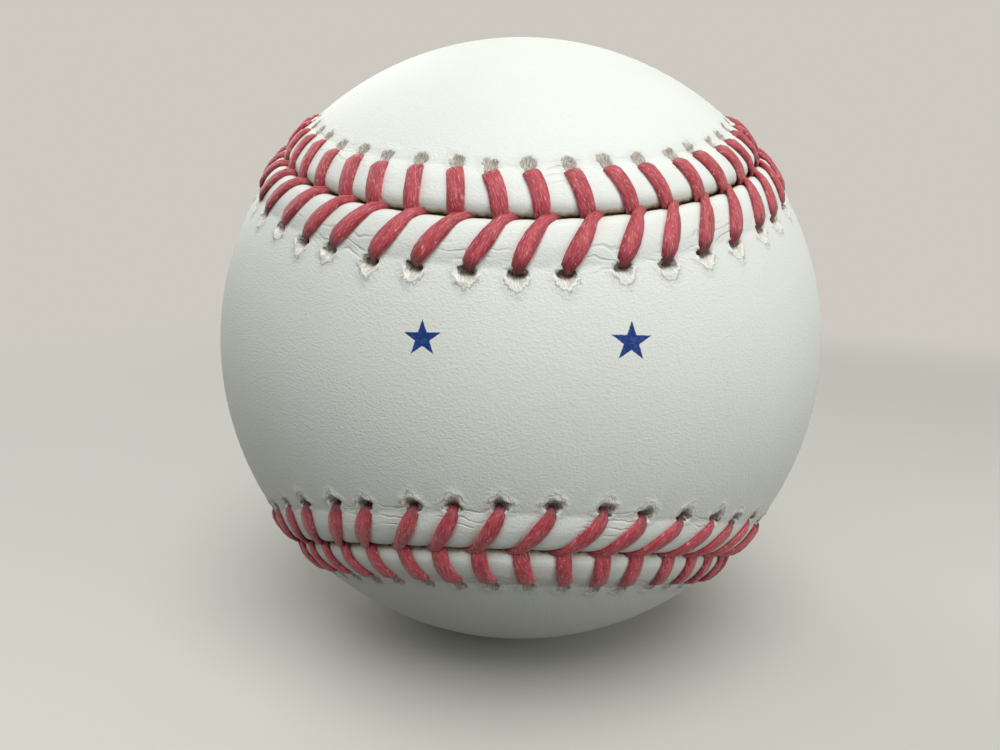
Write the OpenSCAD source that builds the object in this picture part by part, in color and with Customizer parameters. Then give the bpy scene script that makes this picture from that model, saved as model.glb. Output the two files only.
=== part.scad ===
// A baseball: two figure-eight leather panels, sewn edge to edge with double stitches
// of waxed red thread, over four yarn windings and a rubber-cushioned cork centre.
// The origin is the centre of the ball and +Z is up. The narrow neck of the front
// panel faces -Y, and the narrow neck of the back panel faces +Y.
// Sizes are millimetres and degrees.

/* [Cover] */
// Thickness of the leather
leather_t = 1.15; // [1:0.05:1.3]
// Thickness of the adhesive coat on the wound ball
cement_t = 0.15; // [0.1:0.01:0.2]
// Play between one layer and the next
layer_gap = 0.03; // [0.02:0.01:0.05]

/* [Seam] */
// Width of a panel at its narrow neck, from seam to seam over the leather
neck_w = 30; // [28:0.5:32]
// Angle between the seam and the neck's direction where it crosses from bell to bell
crossing = 7.9; // [6:0.1:10]
// Gap between the two butted panel edges
butt_gap = 0.2; // [0.1:0.05:0.4]
// Height of the sewn lip above the smooth leather
lip_h = 0.25; // [0.2:0.05:0.35]

/* [Stitches] */
// Number of double stitches round the ball, in fours
stitch_count = 108; // [88:4:112]
// Slant of the threads on the front panel, from straight across the seam
front_slant = 24; // [20:1:24]
// Slant of the threads on the back panel, from straight across the seam
back_slant = 13; // [9:1:16]
// Width of the flattened thread
thread_w = 1.3; // [1:0.05:1.4]
// Thickness of the flattened thread
thread_t = 0.5; // [0.4:0.05:0.6]
// Clearance between the thread and the leather
thread_gap = 0.12; // [0.12:0.01:0.15]

/* [Windings] */
// Thickness of the first winding, of thick grey wool
wool_1_t = 13.96; // [13:0.02:15]
// Thickness of the second winding, of white wool
wool_2_t = 1.72; // [1.4:0.02:2.2]
// Thickness of the third winding, of grey wool
wool_3_t = 1.97; // [1.5:0.01:2.4]
// Thickness of the finishing winding, of fine cotton
finish_t = 0.51; // [0.3:0.01:0.8]

/* [Centre] */
// Diameter of the composition cork ball
cork_d = 20.6; // [19:0.1:22]
// Thickness of the black rubber shells
black_t = 3.9; // [3:0.1:5]
// Thickness of the red rubber shells
red_t = 3.1; // [2:0.1:4]
// Width of the sealing ring between the black shells
seal_w = 1.6; // [1:0.1:2.4]
// Depth of the ring's groove in the black shells
seal_depth = 1.2; // [0.8:0.1:2]

/* [Hidden] */
$fn = 96;

// Radii of the ball, layer on layer from the centre out
cork_r = cork_d / 2;
black_in_r = cork_r + layer_gap;
black_r = black_in_r + black_t;
red_in_r = black_r + layer_gap;
red_r = red_in_r + red_t;
wool_1_r = red_r + layer_gap + wool_1_t;
wool_2_r = wool_1_r + layer_gap + wool_2_t;
wool_3_r = wool_2_r + layer_gap + wool_3_t;
finish_r = wool_3_r + layer_gap + finish_t;
cement_r = finish_r + layer_gap + cement_t;
leather_in_r = cement_r + layer_gap;
ball_r = leather_in_r + leather_t;

// Degrees of arc on the ball for each millimetre along its surface
deg_per_mm = 180 / (PI * ball_r);

// The seam is one closed curve of four equal lobes. Each lobe bends round the bell of
// a panel on a small circle and runs out on great circles, tangent to that circle.
neck_half = neck_w / 2 * deg_per_mm;
bell_rho = atan2(
  cos(neck_half) * sin(crossing) + sin(neck_half) * cos(crossing) / sqrt(2),
  1 + sin(neck_half) * sin(crossing) - cos(neck_half) * cos(crossing) / sqrt(2));
bell_tilt = 90 - neck_half - bell_rho;
bell_turn = atan2(
  cos(crossing) / sqrt(2),
  cos(crossing) * sin(bell_tilt) / sqrt(2) - sin(crossing) * cos(bell_tilt));
run_half = acos(cos(bell_tilt) / (sqrt(2) * cos(bell_rho)));
bell_arc = bell_turn * sin(bell_rho);
lobe_half = bell_arc + run_half;

// Stitches along a lobe
lobe_stitches = stitch_count / 4;
stitch_pitch = 2 * lobe_half / lobe_stitches;
stitch_phase_share = 0.17;

// The lip lies under the middle of the stitches, its crown this far from the seam. Its
// round section rises lip_h above the leather and curves down to the inner edge of the
// leather, half the gap from the seam.
crown_offset = 2.5;
lip_offset = crown_offset * deg_per_mm;
lip_top_r = ball_r + lip_h;
lip_foot = leather_in_r * cos(lip_offset - butt_gap / 2 * deg_per_mm);
lip_r = (lip_top_r * lip_top_r + leather_in_r * leather_in_r - 2 * lip_top_r * lip_foot)
  / (2 * (lip_top_r - lip_foot));
lip_centre_r = lip_top_r - lip_r;
crown_h = lip_h + thread_gap + thread_t / 2;

// On its runs a lip is this much fuller and this many degrees longer, so that it closes
// over the end of the lip round the bell
lip_swell = 0.02;
lip_lap = 0.3;

// The leather between the lips is cut from wedges that reach from inside the cover to
// outside it, as shares of the ball's radius. A wedge on a run is nearer the seam by a
// share of the lip's offset, and its edge is still under the lip.
wedge_in_share = 0.8;
wedge_out_share = 1.2;
run_edge_share = 0.8;
neck_end = 120;
wedge_steps = 3;

// Neighbouring wedges run into each other by this many degrees and by this many
// millimetres over a middle plane of the ball
wedge_lap = 1;
plane_lap = 1;

// Cutting shapes run past the ball by this much
overrun = ball_r;

// A stitch is an arch over the lip, which it crosses at a slant. One end dips into the
// groove and the other ends just above the leather.
function arch_r(slant) = lip_r / pow(cos(slant), 2) + thread_gap + thread_t / 2;
function arch_drop(slant) = arch_r(slant) - crown_h;
function hole_dip(slant) = acos((arch_drop(slant) + thread_gap) / (arch_r(slant) - thread_t / 2));
function groove_end(slant) = crown_offset / cos(slant) - thread_gap - thread_w / 2 * tan(slant);
function groove_dip(slant) = asin(groove_end(slant) / (arch_r(slant) + thread_t / 2));

// Puts its children on one lobe of the seam, counted from the top lobe
module lobe(j) rotate([0, 90 * j, 0]) mirror([0, j % 2, 0]) children();

// Turns +Z to the middle of the top lobe's bell
module to_bell() rotate([bell_tilt, 0, 0]) children();

// Puts its children on the top lobe, v degrees along the seam from its middle and off
// degrees to the side away from the bell. Locally X runs along the seam and Z points out.
module on_seam(v, off = 0) {
  side = v < 0 ? -1 : 1;
  on_bell = min(abs(v), bell_arc) / sin(bell_rho);
  on_run = max(abs(v) - bell_arc, 0);
  to_bell()
    rotate([0, 0, side * on_bell]) rotate([bell_rho, 0, 0])
      rotate([0, side * on_run, 0]) rotate([off, 0, 0]) children();
}

// Section of a wedge of leather between polar angles a0 and a1
module wedge_section(a0, a1) {
  angles = [for (i = [0:wedge_steps]) a0 + (a1 - a0) * i / wedge_steps];
  polygon(concat(
    [for (i = [0:wedge_steps]) wedge_out_share * ball_r * [sin(angles[i]), cos(angles[i])]],
    [for (i = [wedge_steps:-1:0]) wedge_in_share * ball_r * [sin(angles[i]), cos(angles[i])]]));
}

// Section of a lip at a polar angle
module lip_section(at, swell = 0)
  translate(lip_centre_r * [sin(at), cos(at)]) circle(r = lip_r + swell);

// Revolves a section about Z, by half a turn angle to each side of -Y
module revolve(half_turn) rotate([0, 0, -90 - half_turn]) rotate_extrude(angle = 2 * half_turn)
  children();

// Puts its children on the axis of a run, the great circle between two bells
module on_run() on_seam(lobe_half) rotate([-90, 0, 0]) children();

// Keeps the part of its children with X or Z above minus the lap
module keep_x() intersection() {
  children();
  translate([-plane_lap, -overrun - ball_r, -overrun - ball_r]) cube(2 * (ball_r + overrun));
}
module keep_z() intersection() {
  children();
  translate([-overrun - ball_r, -overrun - ball_r, -plane_lap]) cube(2 * (ball_r + overrun));
}

// The back panel's wedges: two bells, the two sides of its neck, and four runs
module panel_wedges() {
  run_start = asin(cos(crossing) / sqrt(2)) / 2;
  for (j = [0, 2]) lobe(j)
    to_bell() rotate_extrude() wedge_section(0, bell_rho - lip_offset);
  for (j = [1, 3]) lobe(j) keep_z()
    to_bell() revolve(bell_turn) wedge_section(bell_rho + lip_offset, neck_end);
  for (j = [0, 2], m = [0, 1]) lobe(j) mirror([m, 0, 0]) keep_x()
    on_run() revolve(run_half + wedge_lap) wedge_section(run_start, 90 - run_edge_share * lip_offset);
}

// The rolled lip all round the back panel's edge
module panel_lips() {
  for (j = [0, 2]) lobe(j) to_bell() revolve(bell_turn) lip_section(bell_rho - lip_offset);
  for (j = [1, 3]) lobe(j) to_bell() revolve(bell_turn) lip_section(bell_rho + lip_offset);
  for (j = [0, 2], m = [0, 1]) lobe(j) mirror([m, 0, 0])
    on_run() revolve(run_half + lip_lap) lip_section(90 - lip_offset, lip_swell);
}

// A whole figure-eight panel, in the back panel's place
module panel() difference() {
  union() {
    intersection() {
      sphere(r = ball_r);
      union() panel_wedges();
    }
    panel_lips();
  }
  sphere(r = leather_in_r);
}

// Puts its children at each stitch of the back panel, at the middle of the stitch,
// with Y along the thread from the groove to the hole
module each_stitch(slant) {
  for (j = [0:3], i = [0:lobe_stitches - 1]) {
    side = j % 2 == 0 ? 1 : -1;
    v = -lobe_half + (i + stitch_phase_share) * stitch_pitch - lip_offset * tan(slant);
    lobe(j) on_seam(v, -side * lip_offset)
      rotate([0, 0, side * slant]) mirror([0, side < 0 ? 1 : 0, 0]) children();
  }
}

// One visible stitch: a flattened thread that arches over the lip
module stitch(slant) {
  arch = arch_r(slant);
  translate([0, 0, ball_r + crown_h - arch]) rotate([0, 90, 0]) rotate([0, 0, 180 - hole_dip(slant)])
    rotate_extrude(angle = hole_dip(slant) + groove_dip(slant), $fn = 64) translate([arch, 0]) {
      flat = thread_w - thread_t;
      square([thread_t, flat], center = true);
      for (s = [-1, 1]) translate([0, s * flat / 2]) circle(d = thread_t, $fn = 16);
    }
}

// Turns the back panel's place on the ball into the front panel's
module as_front() rotate([0, 90, 0]) mirror([0, 1, 0]) children();

// A hollow ball between two radii
module hollow_ball(outer_r, inner_r) difference() {
  sphere(r = outer_r);
  sphere(r = inner_r);
}

// The upper half of a hollow ball, its rim half a layer gap above the middle
module half_shell(outer_r, inner_r) intersection() {
  hollow_ball(outer_r, inner_r);
  translate([-overrun, -overrun, layer_gap / 2]) cube(2 * overrun);
}

// Room for the sealing ring, grown by a play
module ring_room(play) rotate_extrude()
  translate([black_in_r + black_t / 2 - seal_w / 2 - play, -seal_depth - play])
    square([seal_w + 2 * play, 2 * (seal_depth + play)]);

module cork_core() color("burlywood") sphere(r = cork_r);

module black_half() difference() {
  half_shell(black_r, black_in_r);
  ring_room(layer_gap);
}

module black_shell_upper() color("dimgray") black_half();

module black_shell_lower() color("dimgray") mirror([0, 0, 1]) black_half();

module sealing_ring() color("firebrick") ring_room(0);

module red_shell_upper() color("indianred") half_shell(red_r, red_in_r);

module red_shell_lower() color("indianred") mirror([0, 0, 1]) half_shell(red_r, red_in_r);

module wool_winding_first() color("slategray") hollow_ball(wool_1_r, red_r + layer_gap);

module wool_winding_second() color("ivory") hollow_ball(wool_2_r, wool_1_r + layer_gap);

module wool_winding_third() color("slategray") hollow_ball(wool_3_r, wool_2_r + layer_gap);

module finishing_winding() color("white") hollow_ball(finish_r, wool_3_r + layer_gap);

module cement_coat() color("wheat") hollow_ball(cement_r, finish_r + layer_gap);

module cover_panel_front() color("whitesmoke") as_front() panel();

module cover_panel_back() color("whitesmoke") panel();

module seam_stitches() color("crimson") {
  as_front() each_stitch(front_slant) stitch(front_slant);
  each_stitch(back_slant) stitch(back_slant);
}

cork_core();
black_shell_upper();
black_shell_lower();
sealing_ring();
red_shell_upper();
red_shell_lower();
wool_winding_first();
wool_winding_second();
wool_winding_third();
finishing_winding();
cement_coat();
cover_panel_front();
cover_panel_back();
seam_stitches();
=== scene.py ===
"""Looks of a baseball: a white leather cover of two figure-eight panels, sewn edge to
edge with red waxed thread in double stitches, over windings and a cushioned cork centre."""

import math
import random

import bmesh
import bpy
import numpy as np
from mathutils import Euler, Matrix, Vector
from mathutils.kdtree import KDTree


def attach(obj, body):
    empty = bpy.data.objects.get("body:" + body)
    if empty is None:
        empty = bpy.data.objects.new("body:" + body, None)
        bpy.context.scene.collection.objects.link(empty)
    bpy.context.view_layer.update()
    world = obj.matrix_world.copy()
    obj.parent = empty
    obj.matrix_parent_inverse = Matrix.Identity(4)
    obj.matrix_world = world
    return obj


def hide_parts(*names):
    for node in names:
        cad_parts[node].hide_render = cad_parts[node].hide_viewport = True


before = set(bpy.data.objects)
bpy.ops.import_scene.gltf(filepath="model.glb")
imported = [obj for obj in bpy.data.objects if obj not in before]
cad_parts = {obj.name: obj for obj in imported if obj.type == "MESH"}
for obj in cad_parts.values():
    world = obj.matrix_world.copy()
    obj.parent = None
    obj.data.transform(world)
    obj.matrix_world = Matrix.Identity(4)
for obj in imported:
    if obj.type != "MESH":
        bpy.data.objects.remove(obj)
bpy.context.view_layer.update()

# One millimetre in metres. All other sizes are in millimetres, unless said otherwise.
MM = 0.001

# The ball, its leather and the course of the seam
BALL_R = 37.0
LEATHER_T = 1.15
NECK_W = 30.0
CROSSING = math.radians(7.9)
STITCHES = 108
STITCH_PHASE = 0.17

# The rolled lip along a panel's edge: its height, its roundness under a leg, and how far off
# the seam its crown and its outer foot lie
LIP_H = 0.22
LIP_R = 2.6
LIP_AT = 2.5
LIP_END = 5.2

# The lip's squarer fall into the groove between two legs, the share of it that a leg leaves,
# and the least thickness that the leather keeps there
FALL_W = 2.46
FALL_H = 1.5
FALL_BEND = 3.4
FALL_LEFT = 0.75
THINNEST = 0.05

# The puff of the leather between two legs: its height, the distances off the seam over which
# it rises and falls, and how steeply it swells beside the strip that a leg presses flat. The
# last is how far beside a leg its dye shows.
PUFF_H = 0.13
PUFF_RISE = (0.02, 1.1)
PUFF_FALL = (2.6, 4.6)
PUFF_BEND = 2.4
PRESSED_HALF_W = 0.42
DYED_W = 0.85

# The fold where the lip meets the leather of the middle
FOLD_H = 0.05
FOLD_AT = 4.5
FOLD_W = 0.28

# The thread. Its eight-sided rings are drawn a little wider to be as full as a round one.
THREAD_W = 1.4
THREAD_T = 0.46
RING_SIDES = 8
RING_GROWTH = 1.06

# How a leg lies: its gap above the leather, how much it sinks towards the hole and towards
# the groove, and the heights of its last two rings, which go down into the hole
LYING_GAP = 0.03
SINK_AT_HOLE = 0.26
SINK_AT_GROOVE = 0.2
INTO_HOLE = (-0.22, -0.95)

# The panel's grid: the places along the seam, the rows off it on the grain side and on the
# flesh side, and where the ball-shaped middles start, with the step by which their rims lie
# further in. The rows are close where the leather rolls over and where the holes are.
STATIONS = STITCHES * 20
STRIP_END = 7.8
ROWS = [0.1, 0.16, 0.25, 0.36, 0.5, 0.66, 0.85, 1.08, 1.34, 1.62, 1.92, 2.24, 2.58, 2.92, 3.26]
ROWS += [3.58, 3.86, 4.1, 4.3, 4.48, 4.66, 4.84, 5.02, 5.2, 5.38, 5.56, 5.74, 5.92, 6.12, 6.36]
ROWS += [6.68, 7.15, STRIP_END]
FLESH_ROWS = [4.0, 2.2, 0.6, 0.16]
GRAIN_START = 8.5
FLESH_START = 6.0
FLESH_GAP = 0.005
RIM_STEP = 0.25

# Values of the panels' attributes where there is no hole, on the middle and on the flesh side
NO_HOLE = 4
MIDDLE_GAP = 9
FLESH_MARK = -1

# The two kinds of leg. lag is how far behind the groove the hole lies, reach how far off the
# seam, lead how far ahead the leg starts, bow how far it bends along the seam, and width its
# share of the thread's width. start gives the hidden end in the groove, shares the places of
# the rings. A leg starts at the share slim of its width, is whole from full on, and from
# taper on it loses the share less. The front panel's legs are the slanted ones.
LEGS = {
    "front": {
        "lag": 2.25,
        "reach": 4.6,
        "lead": 0.55,
        "bow": 0.0,
        "width": 1.12,
        "start": ((1.45, -0.24, -0.85), (0.975, -0.06, -0.34)),
        "shares": (0.11, 0.26, 0.44, 0.64, 0.83, 0.955),
        "slim": 0.44,
        "full": 0.62,
        "taper": 0.68,
        "less": 0.34,
    },
    "back": {
        "lag": 1.0,
        "reach": 4.02,
        "lead": 0.0,
        "bow": 0.2,
        "width": 1.07,
        "start": ((0.08, -0.3, -0.75),),
        "shares": (0.05, 0.17, 0.32, 0.49, 0.67, 0.84, 0.955),
        "slim": 0.82,
        "full": 0.25,
        "taper": 0.74,
        "less": 0.2,
    },
}

# The share of its length where a leg's taper ends, and the power that makes a leg slant most
# near the groove
TAPER_END = 0.95
LEG_CURVE = 0.86

# The part of each needle hole that shows past its leg: how far past the leg's end it lies,
# half its width, how far it reaches towards the leg and away from it, how deep it is, where
# its outer wall comes up, how high the torn flap stands, how square its outer end is, and how
# much it fans out.
PUNCH = {
    "front": {
        "past": 0.5,
        "wide": 0.74,
        "near": 0.6,
        "far": 1.05,
        "depth": 0.8,
        "rise": 0.95,
        "flap": 0.15,
        "square": 1.4,
        "fan": 0.0,
    },
    "back": {
        "past": 0.55,
        "wide": 0.7,
        "near": 0.7,
        "far": 0.82,
        "depth": 0.34,
        "rise": 1.2,
        "flap": 0.05,
        "square": 2.6,
        "fan": 0.32,
    },
}

chance = random.Random(108)


# The seam's course
def turn(axis, angle):
    """Rotation matrices about one axis, one for each angle in radians."""
    angle = np.atleast_1d(np.asarray(angle, float))
    c, s, o, i = np.cos(angle), np.sin(angle), np.zeros_like(angle), np.ones_like(angle)
    rows = {
        "X": [i, o, o, o, c, -s, o, s, c],
        "Y": [c, o, s, o, i, o, -s, o, c],
        "Z": [c, -s, o, s, c, o, o, o, i],
    }[axis]
    return np.stack(rows, -1).reshape(-1, 3, 3)


# Angles in radians. A lobe of the seam goes round a panel's bell, which is its round end, on
# a small circle, and runs out on a great circle at each side.
NECK_HALF = NECK_W / 2 / BALL_R
BELL_RHO = math.atan2(
    math.cos(NECK_HALF) * math.sin(CROSSING) + math.sin(NECK_HALF) * math.cos(CROSSING) / math.sqrt(2),
    1 + math.sin(NECK_HALF) * math.sin(CROSSING) - math.cos(NECK_HALF) * math.cos(CROSSING) / math.sqrt(2),
)
BELL_TILT = math.pi / 2 - NECK_HALF - BELL_RHO
BELL_TURN = math.atan2(
    math.cos(CROSSING) / math.sqrt(2),
    math.cos(CROSSING) * math.sin(BELL_TILT) / math.sqrt(2) - math.sin(CROSSING) * math.cos(BELL_TILT),
)
RUN_HALF = math.acos(math.cos(BELL_TILT) / (math.sqrt(2) * math.cos(BELL_RHO)))
BELL_ARC = BELL_TURN * math.sin(BELL_RHO)
LOBE_HALF = BELL_ARC + RUN_HALF
LOBE_MM = 2 * LOBE_HALF * BALL_R
SEAM_MM = 4 * LOBE_MM
PITCH = SEAM_MM / STITCHES


def seam_frames(along):
    """For each place along the seam: a matrix whose columns point along the seam, across it
    into the back panel, and out of the ball."""
    along = np.atleast_1d(np.asarray(along, float)) % SEAM_MM
    lobe = np.minimum((along // LOBE_MM).astype(int), 3)
    v = (along - lobe * LOBE_MM) / BALL_R - LOBE_HALF
    side = np.where(v < 0, -1.0, 1.0)
    on_bell = np.minimum(np.abs(v), BELL_ARC) / math.sin(BELL_RHO)
    on_run = np.maximum(np.abs(v) - BELL_ARC, 0)
    frames = (
        turn("Y", lobe * math.pi / 2)
        @ (np.eye(3) - 2 * (lobe % 2)[:, None, None] * np.diag([0, 1, 0]))
        @ turn("X", BELL_TILT)
        @ turn("Z", side * on_bell)
        @ turn("X", BELL_RHO)
        @ turn("Y", side * on_run)
    )
    frames[:, :, 1] *= np.where(lobe % 2 == 0, 1.0, -1.0)[:, None]
    return frames


def on_ball(along, off, height, panel):
    """Places in metres: along the seam, off it into a panel, and above the leather."""
    frames = seam_frames(along)
    angle = np.asarray(off, float) / BALL_R * (1 if panel == "back" else -1)
    out = frames[:, :, 1] * np.sin(angle)[:, None] + frames[:, :, 2] * np.cos(angle)[:, None]
    return out * ((BALL_R + np.asarray(height, float)) * MM)[:, None], out


# The stitches, sewn by hand
junctions = [(k + STITCH_PHASE) * PITCH + chance.uniform(-0.2, 0.2) for k in range(STITCHES)]


def sew(panel):
    """Where each leg of a panel starts and ends, with a hand's unevenness."""
    kind = LEGS[panel]
    return [
        {
            "junction": s,
            "lag": kind["lag"] + chance.uniform(-0.32, 0.32),
            "reach": kind["reach"] + chance.uniform(-0.2, 0.2),
            "width": THREAD_W * kind["width"] * chance.uniform(0.92, 1.06),
            "bow": kind["bow"] + chance.uniform(-0.16, 0.16),
            "seed": chance.uniform(0, 50),
            "puff": chance.uniform(0.86, 1.14),
            "torn": chance.uniform(0.6, 1.15),
        }
        for s in junctions
    ]


sewn = {panel: sew(panel) for panel in ("front", "back")}


def leg_at(leg, panel, off):
    """How far along the seam a leg lies at a distance from the seam."""
    lead = LEGS[panel]["lead"]
    share = np.clip(np.asarray(off, float) / leg["reach"], 0, 1.15)
    bow = leg["bow"] * np.sin(np.pi * np.clip(share, 0, 1))
    return leg["junction"] + lead - (leg["lag"] + lead) * share**LEG_CURVE + bow


def ease(low, high, x):
    """Rises smoothly from 0 at low to 1 at high."""
    t = np.clip((x - low) / (high - low), 0, 1)
    return t * t * (3 - 2 * t)


def crest(off):
    """Height of the lip midway between two legs, where the edges butt squarely."""
    inward = np.clip((LIP_AT - off) / FALL_W, 0, 1)
    return LIP_H - FALL_H * (1 - (1 - inward**FALL_BEND) ** (1 / FALL_BEND))


def bed(off):
    """Height of the lip under a leg, which presses its edge rounder."""
    rolled = np.sqrt(np.maximum(LIP_R**2 - np.minimum(off - LIP_AT, 0) ** 2, 0)) - LIP_R + LIP_H
    near = rolled + FALL_LEFT * (crest(off) - rolled)
    far = LIP_H * (1 - ease(LIP_AT, LIP_END, off))
    return np.where(off < LIP_AT, np.maximum(near, THINNEST - LEATHER_T), far)


# The leather panels
def puffed_leather(panel, along, off):
    """Height of the leather under and between the legs, and how near past a leg it lies,
    for grids of places along and off the seam."""
    legs = sewn[panel]
    height = np.zeros_like(along)
    pinch = np.zeros_like(along)
    cos_slant = math.cos(math.atan2(LEGS[panel]["lag"], LEGS[panel]["reach"]))
    puffs = np.array([leg["puff"] for leg in legs])
    for column in range(along.shape[1]):
        d = off[0, column]
        centres = np.array([float(leg_at(leg, panel, d)) for leg in legs])
        s = (along[:, column] - centres[0]) % SEAM_MM
        rel = centres - centres[0]
        right = np.searchsorted(rel, s, side="right")
        left = right - 1
        rel_next = np.append(rel, SEAM_MM)
        from_left, to_right = s - rel[left], rel_next[right] - s
        half_gap = (rel_next[right] - rel[left]) / 2 * cos_slant
        nearest = np.minimum(from_left, to_right) * cos_slant
        t = np.clip((nearest - PRESSED_HALF_W) / (half_gap - PRESSED_HALF_W), 0, 1)
        swell = 1 - (1 - t) ** PUFF_BEND
        puff = PUFF_H * puffs[left] * ease(*PUFF_RISE, d) * (1 - ease(*PUFF_FALL, d))
        base = bed(np.full_like(s, d))
        if d < LIP_AT:
            base = base + (np.maximum(crest(d), base) - base) * swell
        fold = FOLD_H * np.exp(-(((d - FOLD_AT) / FOLD_W) ** 2))
        height[:, column] = base + (puff - fold) * swell
        pinch[:, column] = np.exp(-((nearest / DYED_W) ** 2)) * (from_left < to_right)
    return height, pinch


def punched_holes(panel, along, off):
    """How much each place sinks or stands up for the nearest needle hole, where it lies from
    that hole, and how far out it is as a share of the hole's size."""
    legs = sewn[panel]
    punch = PUNCH[panel]
    holes_s = np.array([float(leg_at(leg, panel, leg["reach"])) for leg in legs])
    holes_d = np.array([leg["reach"] + punch["past"] for leg in legs])
    seeds = np.array([leg["seed"] for leg in legs])
    torn = np.array([leg["torn"] for leg in legs])
    shift = (along - holes_s[0] + PITCH / 2) % SEAM_MM
    bounds = np.append((holes_s[1:] + holes_s[:-1]) / 2 - holes_s[0] + PITCH / 2, SEAM_MM)
    nearest = np.searchsorted(bounds, shift) % len(legs)
    x = (along - holes_s[nearest] + SEAM_MM / 2) % SEAM_MM - SEAM_MM / 2
    y = off - holes_d[nearest]
    seed = seeds[nearest]
    round_about = np.arctan2(y, x)
    ragged = 1 + 0.16 * np.sin(3 * round_about + seed) + 0.1 * np.sin(5 * round_about + 2.3 * seed)
    sideways = np.abs(x) / (punch["wide"] * np.clip(1 + punch["fan"] * y, 0.6, 1.5))
    outwards = np.where(y < 0, -y / punch["near"], y / punch["far"])
    bend = np.where(y < 0, 2.0, punch["square"])
    plain = (sideways**bend + outwards**bend) ** (1 / bend)
    reach = plain / ragged
    wall_start = 0.25
    wall = 1 - np.clip((y + wall_start) / (punch["rise"] + wall_start), 0, 1)
    raised = -punch["depth"] * wall * (1 - ease(0.6, 1.04, reach)) * (off > 1)
    outward = ease(-0.2, 0.5, np.sin(round_about))
    ridge = np.exp(-(((reach - 1.2) / 0.2) ** 2)) * outward
    uneven = 0.6 + 0.4 * np.sin(4 * round_about + seed)
    raised += punch["flap"] * torn[nearest] * ridge * uneven
    return raised, np.stack([x, y, seed], -1), plain


def depth_in_panel(tree, frames, panel, co):
    """Distance from the seam into a panel, below zero outside it, and the nearest station."""
    out = co.normalized()
    _, index, _ = tree.find(out)
    across = Vector(frames[index][:, 1]) * (1 if panel == "back" else -1)
    return math.asin(max(-1.0, min(1.0, out.dot(across)))) * BALL_R, index


def panel_middle(bm, tree, frames, panel, radius, start, subdivisions):
    """The middle of a panel, a part of a ball that ends short of the seam, and its rim."""
    made = bmesh.ops.create_icosphere(bm, subdivisions=subdivisions, radius=radius * MM)["verts"]
    outside = [v for v in made if depth_in_panel(tree, frames, panel, v.co)[0] < start]
    bmesh.ops.delete(bm, geom=outside, context="VERTS")
    kept = [v for v in made if v.is_valid]
    bmesh.ops.delete(bm, geom=[v for v in kept if not v.link_faces], context="VERTS")
    kept = [v for v in kept if v.is_valid]
    rim = dict.fromkeys(e for v in kept for e in v.link_edges if e.is_boundary)
    for v in dict.fromkeys(v for e in rim for v in e.verts):
        _, index = depth_in_panel(tree, frames, panel, v.co)
        along = [index * SEAM_MM / STATIONS]
        v.co = on_ball(along, [start + RIM_STEP], [radius - BALL_R], panel)[0][0]
    return kept, list(rim)


def make_panel(panel):
    """One leather panel, its rolled and punched edge made on a grid along the seam and its
    middle cut from a ball, closed by the flesh side underneath."""
    rows = [("flesh", d) for d in FLESH_ROWS] + [("grain", d) for d in ROWS]
    bm = bmesh.new()
    hole_layer = bm.verts.layers.float_vector.new("hole_at")
    reach_layer = bm.verts.layers.float.new("hole_reach")
    gap_layer = bm.verts.layers.float.new("seam_gap")
    pinch_layer = bm.verts.layers.float.new("pinch")
    grid = bmesh.ops.create_grid(bm, x_segments=STATIONS, y_segments=len(rows) - 1, size=0.5)["verts"]
    stations = np.arange(STATIONS + 1) * SEAM_MM / STATIONS
    along, off = np.meshgrid(stations, np.array(ROWS), indexing="ij")
    height, pinch = puffed_leather(panel, along, off)
    raised, hole_at, hole_reach = punched_holes(panel, along, off)
    height += raised
    frames = seam_frames(stations[:-1])
    places = {}
    for r, (side, d) in enumerate(rows):
        if side == "flesh":
            h = np.full(STATIONS + 1, FLESH_GAP - LEATHER_T)
        else:
            h = height[:, r - len(FLESH_ROWS)]
        places[r] = on_ball(stations, np.full(STATIONS + 1, d), h, panel)[0]
    ends = []
    for v in grid:
        k = round((v.co.x + 0.5) * STATIONS)
        r = round((v.co.y + 0.5) * (len(rows) - 1))
        v.co = places[r][k]
        side, d = rows[r]
        if side == "grain":
            c = r - len(FLESH_ROWS)
            v[hole_layer] = hole_at[k, c]
            v[reach_layer] = min(hole_reach[k, c], NO_HOLE)
            v[gap_layer] = d
            v[pinch_layer] = pinch[k, c] * (1 - float(ease(1.6, 4.2, d)))
        else:
            v[reach_layer] = NO_HOLE
            v[gap_layer] = FLESH_MARK
        if k in (0, STATIONS):
            ends.append(v)
    bmesh.ops.remove_doubles(bm, verts=ends, dist=1e-7)
    tree = KDTree(STATIONS)
    for k, out in enumerate(frames[:, :, 2]):
        tree.insert(out, k)
    tree.balance()
    edge_loops = {"grain": [], "flesh": []}
    for e in bm.edges:
        if e.is_boundary:
            outer = e.verts[0].co.length > (BALL_R - LEATHER_T / 2) * MM
            edge_loops["grain" if outer else "flesh"].append(e)
    for side, radius, start, fineness, mark in (
        ("grain", BALL_R, GRAIN_START, 6, MIDDLE_GAP),
        ("flesh", BALL_R - LEATHER_T + FLESH_GAP, FLESH_START, 5, FLESH_MARK),
    ):
        kept, rim = panel_middle(bm, tree, frames, panel, radius, start, fineness)
        for v in kept:
            v[reach_layer] = NO_HOLE
            v[gap_layer] = mark
        bmesh.ops.bridge_loops(bm, edges=edge_loops[side] + rim)
    bmesh.ops.recalc_face_normals(bm, faces=bm.faces)
    return finished_piece(bm, "leather_panel_" + panel)


def finished_piece(bm, name):
    """Ends a bmesh as a smooth object at the origin."""
    mesh = bpy.data.meshes.new(name)
    bm.to_mesh(mesh)
    bm.free()
    mesh.shade_smooth()
    piece = bpy.data.objects.new(name, mesh)
    bpy.context.scene.collection.objects.link(piece)
    return piece


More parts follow.
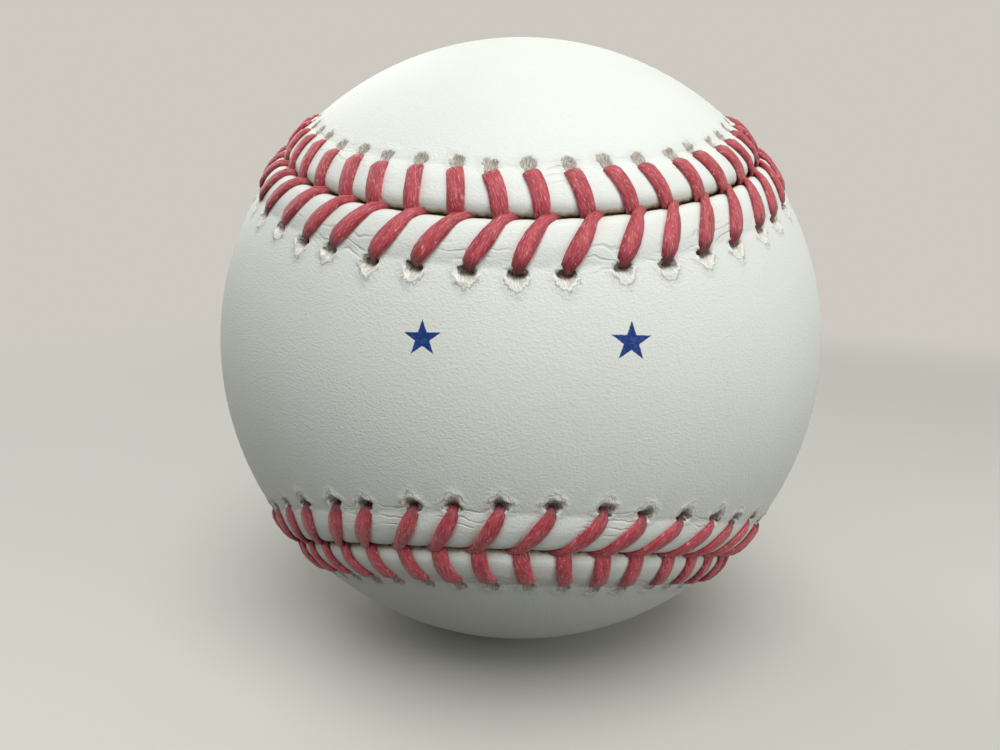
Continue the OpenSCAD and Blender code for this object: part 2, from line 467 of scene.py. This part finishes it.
# The thread
def leg_course(leg, panel):
    """Places along a leg's middle: along the seam, off the seam, above the leather."""
    kind = LEGS[panel]
    reach = leg["reach"]
    course = [(leg["junction"] + ahead, off, height) for ahead, off, height in kind["start"]]
    for share in kind["shares"]:
        off = share * reach
        rise = float(bed(max(off, 0.7))) + THREAD_T / 2 + LYING_GAP
        rise -= SINK_AT_HOLE * float(ease(0.84, 1.0, share))
        rise -= SINK_AT_GROOVE * float(ease(0.75, 0.1, off))
        course.append((float(leg_at(leg, panel, off)), off, rise))
    end = float(leg_at(leg, panel, reach))
    course.append((end, reach, INTO_HOLE[0]))
    course.append((end, reach * 1.01, INTO_HOLE[1]))
    return course


def make_leg(leg, panel, mesh):
    """Sweeps one flattened leg of thread, ring by ring, along its course."""
    kind = LEGS[panel]
    bm = bmesh.new()
    lay_layer = bm.verts.layers.float_vector.new("lay")
    share_layer = bm.verts.layers.float.new("share")
    course = np.array(leg_course(leg, panel))
    points, outs = on_ball(course[:, 0], course[:, 1], course[:, 2], panel)
    count = len(points)
    lengths = np.append(0, np.cumsum(np.linalg.norm(np.diff(points, axis=0), axis=1))) / MM
    edges, before, across = None, None, None
    for i in range(count):
        ahead = Vector(points[min(i + 1, count - 1)] - points[max(i - 1, 0)]).normalized()
        if i < count - 2:
            across = ahead.cross(Vector(outs[i])).normalized()
        ahead = (ahead - across * ahead.dot(across)).normalized()
        up = across.cross(ahead)
        share = lengths[i] / lengths[-1]
        grown_to = kind["slim"] + (1 - kind["slim"]) * float(ease(0.0, kind["full"], share))
        slim = grown_to - kind["less"] * float(ease(kind["taper"], TAPER_END, share))
        wide = leg["width"] / 2 * slim * MM * RING_GROWTH
        thick = THREAD_T / 2 * MM * RING_GROWTH * (1 + 0.3 * (1 - slim))
        place = Matrix((across * wide, up * thick, ahead)).transposed().to_4x4()
        place.translation = Vector(points[i])
        if i == 0:
            ring = bmesh.ops.create_circle(bm, cap_ends=True, segments=RING_SIDES, radius=1.0)["verts"]
            edges = list(dict.fromkeys(e for v in ring for e in v.link_edges))
            spin = Matrix.Rotation(math.pi / RING_SIDES, 4, "Z")
            bmesh.ops.transform(bm, matrix=place @ spin, verts=ring)
        else:
            grown = bmesh.ops.extrude_edge_only(bm, edges=edges)["geom"]
            ring = [g for g in grown if isinstance(g, bmesh.types.BMVert)]
            rings = set(ring)
            edges = [g for g in grown if isinstance(g, bmesh.types.BMEdge) and set(g.verts) <= rings]
            bmesh.ops.transform(bm, matrix=place @ before.inverted(), verts=ring)
        back = place.inverted()
        for v in ring:
            local = back @ v.co
            v[lay_layer] = (local.x * leg["width"] / 2, lengths[i], leg["seed"])
            v[share_layer] = share
        before = place
    bmesh.ops.holes_fill(bm, edges=edges, sides=RING_SIDES)
    bmesh.ops.recalc_face_normals(bm, faces=bm.faces)
    bm.to_mesh(mesh)
    bm.free()


def make_thread():
    """All the legs that show, in one piece."""
    bm = bmesh.new()
    one_leg = bpy.data.meshes.new("one_leg")
    for panel in ("back", "front"):
        for leg in sewn[panel]:
            make_leg(leg, panel, one_leg)
            bm.from_mesh(one_leg)
    bpy.data.meshes.remove(one_leg)
    return finished_piece(bm, "waxed_red_thread")


# Materials
# A scale on the object's own place is a count per metre, and a bump's height is in metres.
# The holes' and the thread's own places are in millimetres.
def srgb(*values):
    """A colour as it looks on a screen, 0 to 255, as the shader wants it."""
    scaled = [v / 255 for v in values]
    return tuple(v / 12.92 if v <= 0.04045 else ((v + 0.055) / 1.055) ** 2.4 for v in scaled) + (1.0,)


class Finish:
    """One material, with short ways to add its nodes."""

    def __init__(self, name):
        self.material = bpy.data.materials.new(name)
        self.material.use_nodes = True
        self.tree = self.material.node_tree
        self.shader = self.tree.nodes["Principled BSDF"]
        self.place = self.node("TexCoord").outputs["Object"]

    def node(self, kind, inputs=None, **settings):
        """Any shader node, with its inputs linked or set."""
        made = self.tree.nodes.new("ShaderNode" + kind)
        for key, value in settings.items():
            setattr(made, key, value)
        for key, value in (inputs or {}).items():
            if isinstance(value, bpy.types.NodeSocket):
                self.tree.links.new(value, made.inputs[key])
            else:
                made.inputs[key].default_value = value
        return made

    def math(self, operation, *values):
        """A sum, product or other function of numbers."""
        return self.node("Math", dict(enumerate(values)), operation=operation).outputs[0]

    def vector(self, operation, *values, out="Vector"):
        """The same for vectors."""
        return self.node("VectorMath", dict(enumerate(values)), operation=operation).outputs[out]

    def step(self, value, low, high, to_low=0.0, to_high=1.0):
        """Goes smoothly from to_low to to_high while the value goes from low to high."""
        inputs = {"Value": value, "From Min": low, "From Max": high, "To Min": to_low, "To Max": to_high}
        return self.node("MapRange", inputs, interpolation_type="SMOOTHSTEP").outputs["Result"]

    def noise(self, vector, scale, detail=2.0, rough=0.5, out="Fac"):
        """Cloudy noise between about 0.3 and 0.7."""
        inputs = {"Vector": vector, "Scale": scale, "Detail": detail, "Roughness": rough}
        return self.node("TexNoise", inputs).outputs[out]

    def mix(self, share, first, second):
        """The first colour, with a share of the second."""
        made = self.node("Mix", data_type="RGBA")
        for key, value in ((0, share), (6, first), (7, second)):
            if isinstance(value, bpy.types.NodeSocket):
                self.tree.links.new(value, made.inputs[key])
            else:
                made.inputs[key].default_value = value
        return made.outputs[2]

    def attribute(self, name, out="Fac"):
        """A value that the mesh carries at its points."""
        return self.node("Attribute", attribute_name=name).outputs[out]

    def bump(self, height, distance, strength=1.0, under=None):
        """A bump, laid over another where there is one."""
        inputs = {"Height": height, "Distance": distance, "Strength": strength}
        if under is not None:
            inputs["Normal"] = under
        return self.node("Bump", inputs).outputs["Normal"]

    def set(self, **values):
        """Sets or links the shader's own sockets and gives the material."""
        names = {
            "color": "Base Color",
            "roughness": "Roughness",
            "normal": "Normal",
            "sheen": "Sheen Weight",
            "sheen_roughness": "Sheen Roughness",
            "specular": "Specular IOR Level",
        }
        for key, value in values.items():
            socket = self.shader.inputs[names[key]]
            if isinstance(value, bpy.types.NodeSocket):
                self.tree.links.new(value, socket)
            else:
                socket.default_value = value
        return self.material


def printed_stars(f):
    """How much blue ink lies on the leather: two plain five-pointed stars side by side, the
    right one printed a little larger."""
    middle_turn = math.radians(2.1)
    middle_rise = math.radians(7.35)
    apart = 8.6
    tip = 1.7
    notch = 0.66
    broad = 1.06
    larger = 0.045
    ink_spread = 0.018
    face = Euler((-middle_rise, 0, middle_turn)).to_matrix()
    right, ahead, up = (face @ Vector(way) for way in ((1, 0, 0), (0, -1, 0), (0, 0, 1)))
    x = f.vector("DOT_PRODUCT", f.place, tuple(right), out="Value")
    y = f.vector("DOT_PRODUCT", f.place, tuple(ahead), out="Value")
    z = f.vector("DOT_PRODUCT", f.place, tuple(up), out="Value")
    x = f.math("MULTIPLY", f.math("ARCTAN2", x, y), BALL_R)
    size = f.math("ADD", 1, f.math("MULTIPLY", f.math("SIGN", x), larger))
    x = f.math("SUBTRACT", f.math("ABSOLUTE", x), apart)
    x = f.math("DIVIDE", f.math("DIVIDE", x, broad), size)
    z = f.math("DIVIDE", f.math("MULTIPLY", z, 1 / MM), size)
    angle = f.math("ARCTAN2", x, z)
    angle = f.math("PINGPONG", f.math("ADD", angle, math.tau), math.pi / 5)
    reach = f.math("SQRT", f.math("ADD", f.math("MULTIPLY", x, x), f.math("MULTIPLY", z, z)))
    px = f.math("MULTIPLY", reach, f.math("COSINE", angle))
    py = f.math("MULTIPLY", reach, f.math("SINE", angle))
    edge_x = notch * math.cos(math.pi / 5) - tip
    edge_y = notch * math.sin(math.pi / 5)
    length = math.hypot(edge_x, edge_y)
    inside = f.math(
        "ADD",
        f.math("MULTIPLY", py, edge_x / length),
        f.math("MULTIPLY", f.math("SUBTRACT", tip, px), edge_y / length),
    )
    bleed = f.step(f.noise(f.place, 5200, 2), 0.3, 0.7, -ink_spread, ink_spread)
    return f.step(f.math("ADD", inside, bleed), -0.02, 0.05)


def needle_holes(f, panel, hide, reach, fibre):
    """The hide's colour with its needle holes: in the front panel, pits painted dark as shade, torn
    pale flaps and a thin painted shadow past them; in the back one, grey fluff painted darker as
    shade towards the leg."""
    outer = f.node("SeparateXYZ", {"Vector": f.attribute("hole_at", out="Vector")}).outputs["Y"]
    if panel == "back":
        fluff = f.mix(f.step(fibre, 0.36, 0.64), srgb(156, 140, 128), srgb(222, 216, 208))
        # Towards the leg, where the hole goes deep, the fluff is painted dark brown: painted shade.
        fluff = f.mix(f.step(outer, -0.25, -0.6), fluff, srgb(116, 94, 88))
        return f.mix(f.step(reach, 1.2, 0.92), hide, fluff)
    felt = f.mix(f.step(fibre, 0.35, 0.65), srgb(122, 108, 100), srgb(206, 198, 188))
    flesh = f.mix(f.step(fibre, 0.38, 0.62), srgb(214, 207, 194), srgb(244, 242, 234))
    # Beside the leg's end, where the hole goes deep, the pit is painted dark brown: painted shade over the
    # felt.
    pit = f.mix(f.step(outer, -0.5, -0.15), srgb(78, 58, 56), felt)
    pit = f.mix(f.step(outer, 0.05, 0.4), pit, flesh)
    on_flap = f.math("MULTIPLY", f.step(reach, 0.85, 1.0), f.step(reach, 1.42, 1.26))
    on_flap = f.math("MULTIPLY", on_flap, f.step(outer, -0.25, 0.05))
    # A thin grey line round the flap's outer side: a painted shadow under its torn rim.
    edge = f.math("MULTIPLY", f.step(reach, 1.26, 1.36), f.step(reach, 1.56, 1.42))
    edge = f.math("MULTIPLY", edge, f.step(outer, 0.1, 0.5, 0, 0.5))
    hide = f.mix(on_flap, hide, srgb(250, 250, 243))
    hide = f.mix(edge, hide, srgb(150, 146, 134))
    return f.mix(f.step(reach, 1.12, 0.94), hide, pit)


def dye_shade_and_raw_edge(f, gap, color):
    """Dye beside the legs, painted shade towards the groove, and the raw edge of the leather in it,
    its deepest part painted darker as shade.
    """
    patches = f.step(f.noise(f.place, 160, 2), 0.46, 0.64, 0, 0.7)
    dye = f.math("MULTIPLY", f.attribute("pinch"), patches)
    color = f.mix(dye, color, srgb(226, 150, 140))
    # The leather greys towards the groove: painted shade where the lip rolls down into it.
    groove_shade = f.math("MULTIPLY", f.step(gap, 1.0, 0.3), 0.25)
    color = f.mix(groove_shade, color, srgb(196, 191, 178))
    ragged_gap = f.math("ADD", gap, f.step(f.noise(f.place, 1700, 3), 0.3, 0.7, -0.05, 0.05))
    color = f.mix(f.step(ragged_gap, 0.4, 0.18), color, srgb(190, 178, 152))
    # The raw edge goes dark brown at the groove's bottom: partly the edge's own colour, partly painted
    # shade.
    color = f.mix(f.step(ragged_gap, 0.2, 0.1), color, srgb(112, 94, 78))
    return f.mix(f.step(gap, -0.2, -0.8), color, srgb(196, 178, 150))


def thin_folds(f, gap):
    """Thin folds here and there in the lip, which run along the seam."""
    bands = f.math("MULTIPLY", gap, 7.5)
    bands = f.math("SINE", f.math("ADD", bands, f.math("MULTIPLY", f.noise(f.place, 330, 2), 17.0)))
    folds = f.math("MULTIPLY", f.step(gap, 2.1, 3.2), f.step(gap, 5.5, 4.7))
    folds = f.math("MULTIPLY", folds, f.step(f.noise(f.place, 230, 2), 0.46, 0.6))
    return f.math("MULTIPLY", folds, f.step(bands, 0.45, 1.0))


def leather(panel):
    """White tanned leather: fine pebble with painted shade on its creases, raw grey-brown edge in the
    groove with painted shade towards it, needle holes with torn rims and painted shade in them,
    thin folds with painted shade, and a little thread dye beside the legs."""
    f = Finish("leather_" + panel)
    warp = f.vector("SUBTRACT", f.noise(f.place, 1500, 2, out="Color"), (0.5, 0.5, 0.5))
    shift = f.vector("MULTIPLY", warp, (0.0003, 0.0003, 0.0003))
    grained = f.vector("MULTIPLY", f.vector("ADD", f.place, shift), (1.0, 1.0, 1.5))
    cells = {"Vector": grained, "Scale": 3700.0, "Smoothness": 0.5}
    pebble = f.node("TexVoronoi", cells, feature="SMOOTH_F1").outputs["Distance"]
    creases = f.noise(grained, 3000, 3, 0.6)
    pores = f.noise(f.place, 9000, 2)
    gap = f.attribute("seam_gap")
    wobble = f.step(f.noise(f.place, 1900, 3, 0.55), 0.25, 0.75, -0.24, 0.24)
    reach = f.math("ADD", f.attribute("hole_reach"), wobble)
    hole_at = f.attribute("hole_at", out="Vector")
    fibre = f.noise(f.vector("MULTIPLY", hole_at, (7.0, 1.6, 1.0)), 1.6, 3, 0.7)

    hide = f.mix(f.noise(f.place, 90, 3), srgb(236, 238, 231), srgb(243, 245, 240))
    # The hide is greyed where the crease noise is high, the same noise that raises its bump: painted shade
    # on the creases.
    hide = f.mix(f.step(creases, 0.5, 0.75, 0, 0.12), hide, srgb(214, 214, 205))
    color = needle_holes(f, panel, hide, reach, fibre)
    color = dye_shade_and_raw_edge(f, gap, color)
    folds = thin_folds(f, gap)
    # The folds are greyed as well as sunk by their bump: painted shade in the folds.
    color = f.mix(f.math("MULTIPLY", folds, 0.16), color, srgb(196, 193, 182))

    normal = f.bump(creases, 0.000045, 0.55)
    normal = f.bump(pebble, 0.000035, 0.6, normal)
    normal = f.bump(pores, 0.000012, 0.3, normal)
    normal = f.bump(f.math("MULTIPLY", folds, -1), 0.00006, 0.75, normal)
    fray = f.math("MULTIPLY", fibre, f.step(reach, 2.2, 1.3))
    normal = f.bump(fray, 0.00012, 0.7, normal)
    if panel == "front":
        blue = f.mix(f.noise(f.place, 2600, 3), srgb(10, 41, 112), srgb(22, 68, 148))
        worn = f.math("MULTIPLY", printed_stars(f), f.step(pebble, 0.75, 0.5, 0.96, 1.0))
        color = f.mix(worn, color, blue)
    return f.set(color=color, roughness=0.52, specular=0.25, normal=normal)


def waxed_thread():
    """Twisted red cotton, waxed and pulled flat: fine lengthwise fibres with painted highlights on the
    raised strands and painted shade in the twist and where the legs go into the holes and the groove,
    and white specks of wax."""
    f = Finish("waxed_thread")
    share = f.attribute("share")
    lay = f.node("SeparateXYZ", {"Vector": f.attribute("lay", out="Vector")})
    across, along, seed = lay.outputs["X"], lay.outputs["Y"], lay.outputs["Z"]
    skew = f.math("ADD", across, f.math("MULTIPLY", along, 0.16))

    def twisted(crosswise, lengthwise):
        """The thread's own place, stretched along its twist."""
        x = f.math("MULTIPLY", skew, crosswise)
        y = f.math("MULTIPLY", along, lengthwise)
        return f.node("CombineXYZ", {"X": x, "Y": y, "Z": seed}).outputs[0]

    strands = f.noise(twisted(6.5, 1.3), 1.4, 4, 0.62)
    plies = f.noise(twisted(2.0, 0.45), 1.1, 2, 0.5)
    color = f.mix(f.step(plies, 0.32, 0.68), srgb(171, 42, 57), srgb(205, 73, 86))
    # The raised strands, high in the same noise as the bump, are painted pale pink: painted highlights.
    color = f.mix(f.step(strands, 0.5, 0.75, 0, 0.9), color, srgb(236, 166, 168))
    # The low strands, sunk by the bump, are painted dark red: painted shade in the twist.
    color = f.mix(f.step(strands, 0.45, 0.27, 0, 0.6), color, srgb(132, 30, 46))
    specks = f.noise(f.place, 2300, 2, 0.55)
    color = f.mix(f.step(specks, 0.69, 0.76, 0, 0.75), color, srgb(240, 200, 200))
    # Where the leg goes down into its hole it is painted dark red: painted shade.
    uneven = f.step(f.noise(f.place, 700, 2), 0.3, 0.6, 0.35, 0.9)
    into_hole_shade = f.math("MULTIPLY", f.step(share, 0.73, 0.91), uneven)
    color = f.mix(into_hole_shade, color, srgb(66, 16, 30))
    # At its hidden start in the groove the leg is painted dark red: painted shade.
    color = f.mix(f.step(share, 0.14, 0.02, 0, 0.75), color, srgb(70, 12, 26))
    normal = f.bump(plies, 0.00022, 0.55)
    normal = f.bump(strands, 0.00014, 0.75, normal)
    return f.set(color=color, roughness=0.46, specular=0.5, sheen=0.22, sheen_roughness=0.45, normal=normal)


def cork():
    """Crumbs of cork pressed together, with dark joints between them."""
    f = Finish("composition_cork")
    crumbs_per_metre = 620.0
    crumbs = f.node("TexVoronoi", {"Vector": f.place, "Scale": crumbs_per_metre})
    tone = f.node("SeparateColor", {"Color": crumbs.outputs["Color"]}).outputs[0]
    color = f.mix(tone, srgb(150, 104, 62), srgb(206, 162, 110))
    joints = {"Vector": f.place, "Scale": crumbs_per_metre}
    joints = f.node("TexVoronoi", joints, feature="DISTANCE_TO_EDGE").outputs["Distance"]
    color = f.mix(f.step(joints, 0.1, 0.02), color, srgb(84, 52, 30))
    normal = f.bump(joints, 0.0004, 0.6)
    normal = f.bump(f.noise(f.place, 4200, 3), 0.0001, 0.5, normal)
    return f.set(color=color, roughness=0.85, specular=0.2, normal=normal)


def rubber(name, dark, light):
    """Moulded rubber, cloudy in tone, with pale specks of its dusting."""
    f = Finish(name)
    color = f.mix(f.noise(f.place, 260, 4, 0.6), dark, light)
    dusting = f.step(f.noise(f.place, 2600, 2), 0.64, 0.74, 0, 0.4)
    color = f.mix(dusting, color, srgb(196, 186, 176))
    normal = f.bump(f.noise(f.place, 3200, 3, 0.6), 0.00006, 0.5)
    return f.set(color=color, roughness=0.62, specular=0.35, normal=normal)


def wound(name, dark, light, strand_mm, fuzz):
    """Yarn wound round and round a ball: bands of strands that cross at many angles."""
    f = Finish(name)
    patch = f.noise(f.place, 75, 1, out="Color")
    bend = f.vector("MULTIPLY", patch, (0.002, 0.002, 0.002))
    strands_scale = 1000 / strand_mm / math.tau
    strands = {"Scale": strands_scale, "Distortion": 1.2, "Detail": 2.0, "Detail Scale": 2.0}
    heights = []
    for angles in ((0.5, 0.3, 0.0), (-0.7, 0.9, 0.4), (1.3, -0.5, 1.1)):
        turned = f.node("Mapping", {"Vector": f.place, "Rotation": angles}).outputs[0]
        bent = f.vector("ADD", turned, bend)
        heights.append(f.node("TexWave", {"Vector": bent, **strands}).outputs["Fac"])
    share = f.node("SeparateColor", {"Color": patch})
    first = f.step(share.outputs[0], 0.49, 0.52)
    second = f.step(share.outputs[1], 0.49, 0.52)
    height = f.mix(second, f.mix(first, heights[0], heights[1]), heights[2])
    # The colour follows the strands' height, darker in the hollows between them: painted shade.
    color = f.mix(height, dark, light)
    color = f.mix(f.step(f.noise(f.place, 1400, 4, 0.7), 0.4, 0.7, 0, 0.4), color, dark)
    normal = f.bump(height, 0.0004, 0.8)
    normal = f.bump(f.noise(f.place, 5200, 3, 0.7), 0.0001, fuzz, normal)
    return f.set(color=color, roughness=0.9, specular=0.15, sheen=0.25, normal=normal)


def cement():
    """A dried film of adhesive, thicker and darker in spots."""
    f = Finish("adhesive_coat")
    film = f.noise(f.place, 420, 4, 0.6)
    color = f.mix(film, srgb(196, 176, 132), srgb(226, 212, 178))
    color = f.mix(f.step(f.noise(f.place, 1500, 3), 0.6, 0.75, 0, 0.5), color, srgb(160, 136, 96))
    normal = f.bump(film, 0.0002, 0.6)
    return f.set(color=color, roughness=0.38, specular=0.5, normal=normal)


# Pieces on the frame
for panel in ("front", "back"):
    piece = make_panel(panel)
    piece.data.materials.append(leather(panel))
    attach(piece, "root")
    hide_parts("cover_panel_" + panel)

thread = make_thread()
thread.data.materials.append(waxed_thread())
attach(thread, "root")
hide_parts("seam_stitches")

black = rubber("black_rubber", srgb(34, 33, 35), srgb(58, 56, 58))
red = rubber("red_rubber", srgb(128, 44, 38), srgb(168, 70, 58))
grey = wound("grey_wool", srgb(84, 86, 92), srgb(150, 152, 158), strand_mm=1.3, fuzz=0.7)
white = wound("white_wool", srgb(178, 170, 150), srgb(236, 230, 214), strand_mm=1.1, fuzz=0.7)
fine = wound("fine_yarn", srgb(190, 184, 168), srgb(240, 236, 226), strand_mm=0.55, fuzz=0.4)
inner_finishes = {
    "cork_core": cork(),
    "black_shell_upper": black,
    "black_shell_lower": black,
    "sealing_ring": red,
    "red_shell_upper": red,
    "red_shell_lower": red,
    "wool_winding_first": grey,
    "wool_winding_second": white,
    "wool_winding_third": grey,
    "finishing_winding": fine,
    "cement_coat": cement(),
}
for node, finish in inner_finishes.items():
    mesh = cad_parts[node].data
    mesh.materials.clear()
    mesh.materials.append(finish)


# Stage, light and camera, in metres
BACKDROP = srgb(205, 201, 192)
SKY = srgb(222, 226, 224)
SKY_STRENGTH = 0.29
FLOOR_HALF = 3.0
FADE_START = 0.08
FADE_END = 0.5
LAMPS = {
    "soft_light_above": {
        "place": (0.05, -0.28, 0.45),
        "size": 0.4,
        "watts": 2.08,
        "tint": (0.975, 1.0, 0.985),
    },
    "soft_light_right": {
        "place": (0.52, -0.3, 0.17),
        "size": 0.32,
        "watts": 0.88,
        "tint": (0.98, 1.0, 0.985),
    },
    "soft_light_left": {
        "place": (-0.3, -0.36, 0.42),
        "size": 0.36,
        "watts": 0.34,
        "tint": (0.98, 1.0, 0.985),
    },
    "soft_light_behind": {
        "place": (-0.36, 0.42, 0.34),
        "size": 0.5,
        "watts": 1.15,
        "tint": (0.98, 1.0, 0.985),
    },
}

# The camera was fitted to the ball's outline and its seam in a picture 1000 pixels wide.
PICTURE_HALF_W = 500
FOCAL_PIXELS = 671.6
SENSOR_W = 36.0
CAMERA_AT = (0.001405, -0.090073, 0.010754)
CAMERA_TURN = (80.527, -0.89, 2.501)


def rays_that_show(tree):
    """One for the rays that show a surface itself, also in metal or through glass."""
    ray = tree.nodes.new("ShaderNodeLightPath").outputs
    shown = ray["Is Camera Ray"]
    for kind in ("Is Glossy Ray", "Is Transmission Ray"):
        larger = tree.nodes.new("ShaderNodeMath")
        larger.operation = "MAXIMUM"
        tree.links.new(shown, larger.inputs[0])
        tree.links.new(ray[kind], larger.inputs[1])
        shown = larger.outputs[0]
    return shown


def make_floor():
    """A pale floor that fades into the backdrop away from the ball."""
    bm = bmesh.new()
    bmesh.ops.create_grid(bm, x_segments=1, y_segments=1, size=FLOOR_HALF)
    bmesh.ops.translate(bm, verts=bm.verts, vec=(0, 0, -BALL_R * MM))
    mesh = bpy.data.meshes.new("floor")
    bm.to_mesh(mesh)
    bm.free()
    floor = bpy.data.objects.new("floor", mesh)
    bpy.context.scene.collection.objects.link(floor)
    f = Finish("pale_floor")
    seen = rays_that_show(f.tree)
    tone = f.mix(f.noise(f.place, 6, 3), srgb(212, 209, 201), srgb(217, 214, 207))
    f.set(color=f.mix(seen, srgb(84, 83, 80), tone), roughness=0.75, specular=0.2)
    far = f.step(f.vector("LENGTH", f.place, out="Value"), FADE_START, FADE_END)
    backdrop = f.node("Emission", {"Color": BACKDROP, "Strength": 1.0}).outputs[0]
    sweep = f.node("MixShader", {0: f.math("MULTIPLY", far, seen), 1: f.shader.outputs[0], 2: backdrop})
    f.tree.links.new(sweep.outputs[0], f.tree.nodes["Material Output"].inputs["Surface"])
    mesh.materials.append(f.material)


def make_lamp(name, place, size, watts, tint):
    """A soft round lamp that points at the ball."""
    lamp = bpy.data.lights.new(name, "AREA")
    lamp.shape = "DISK"
    lamp.size = size
    lamp.energy = watts
    lamp.color = tint
    light = bpy.data.objects.new(name, lamp)
    light.location = place
    light.rotation_euler = (-Vector(place)).to_track_quat("-Z", "Y").to_euler()
    bpy.context.scene.collection.objects.link(light)


def make_world():
    """An even sky that lights the ball, behind a backdrop of the floor's colour."""
    world = bpy.data.worlds.new("studio")
    bpy.context.scene.world = world
    world.use_nodes = True
    tree = world.node_tree
    sky = tree.nodes["Background"]
    sky.inputs["Color"].default_value = SKY
    sky.inputs["Strength"].default_value = SKY_STRENGTH
    backdrop = tree.nodes.new("ShaderNodeBackground")
    backdrop.inputs["Color"].default_value = BACKDROP
    backdrop.inputs["Strength"].default_value = 1.0
    either = tree.nodes.new("ShaderNodeMixShader")
    tree.links.new(rays_that_show(tree), either.inputs[0])
    tree.links.new(sky.outputs[0], either.inputs[1])
    tree.links.new(backdrop.outputs[0], either.inputs[2])
    tree.links.new(either.outputs[0], tree.nodes["World Output"].inputs["Surface"])


def make_camera():
    """The camera at the photograph's angle."""
    lens = bpy.data.cameras.new("camera")
    lens.sensor_width = SENSOR_W
    lens.lens = SENSOR_W / 2 * FOCAL_PIXELS / PICTURE_HALF_W
    lens.clip_start = 0.005
    lens.clip_end = 20.0
    camera = bpy.data.objects.new("camera", lens)
    camera.location = CAMERA_AT
    camera.rotation_euler = [math.radians(angle) for angle in CAMERA_TURN]
    bpy.context.scene.collection.objects.link(camera)
    bpy.context.scene.camera = camera


make_floor()
for name, lamp in LAMPS.items():
    make_lamp(name, **lamp)
make_world()
make_camera()
bpy.context.scene.view_settings.view_transform = "Standard"

bpy.context.view_layer.update()
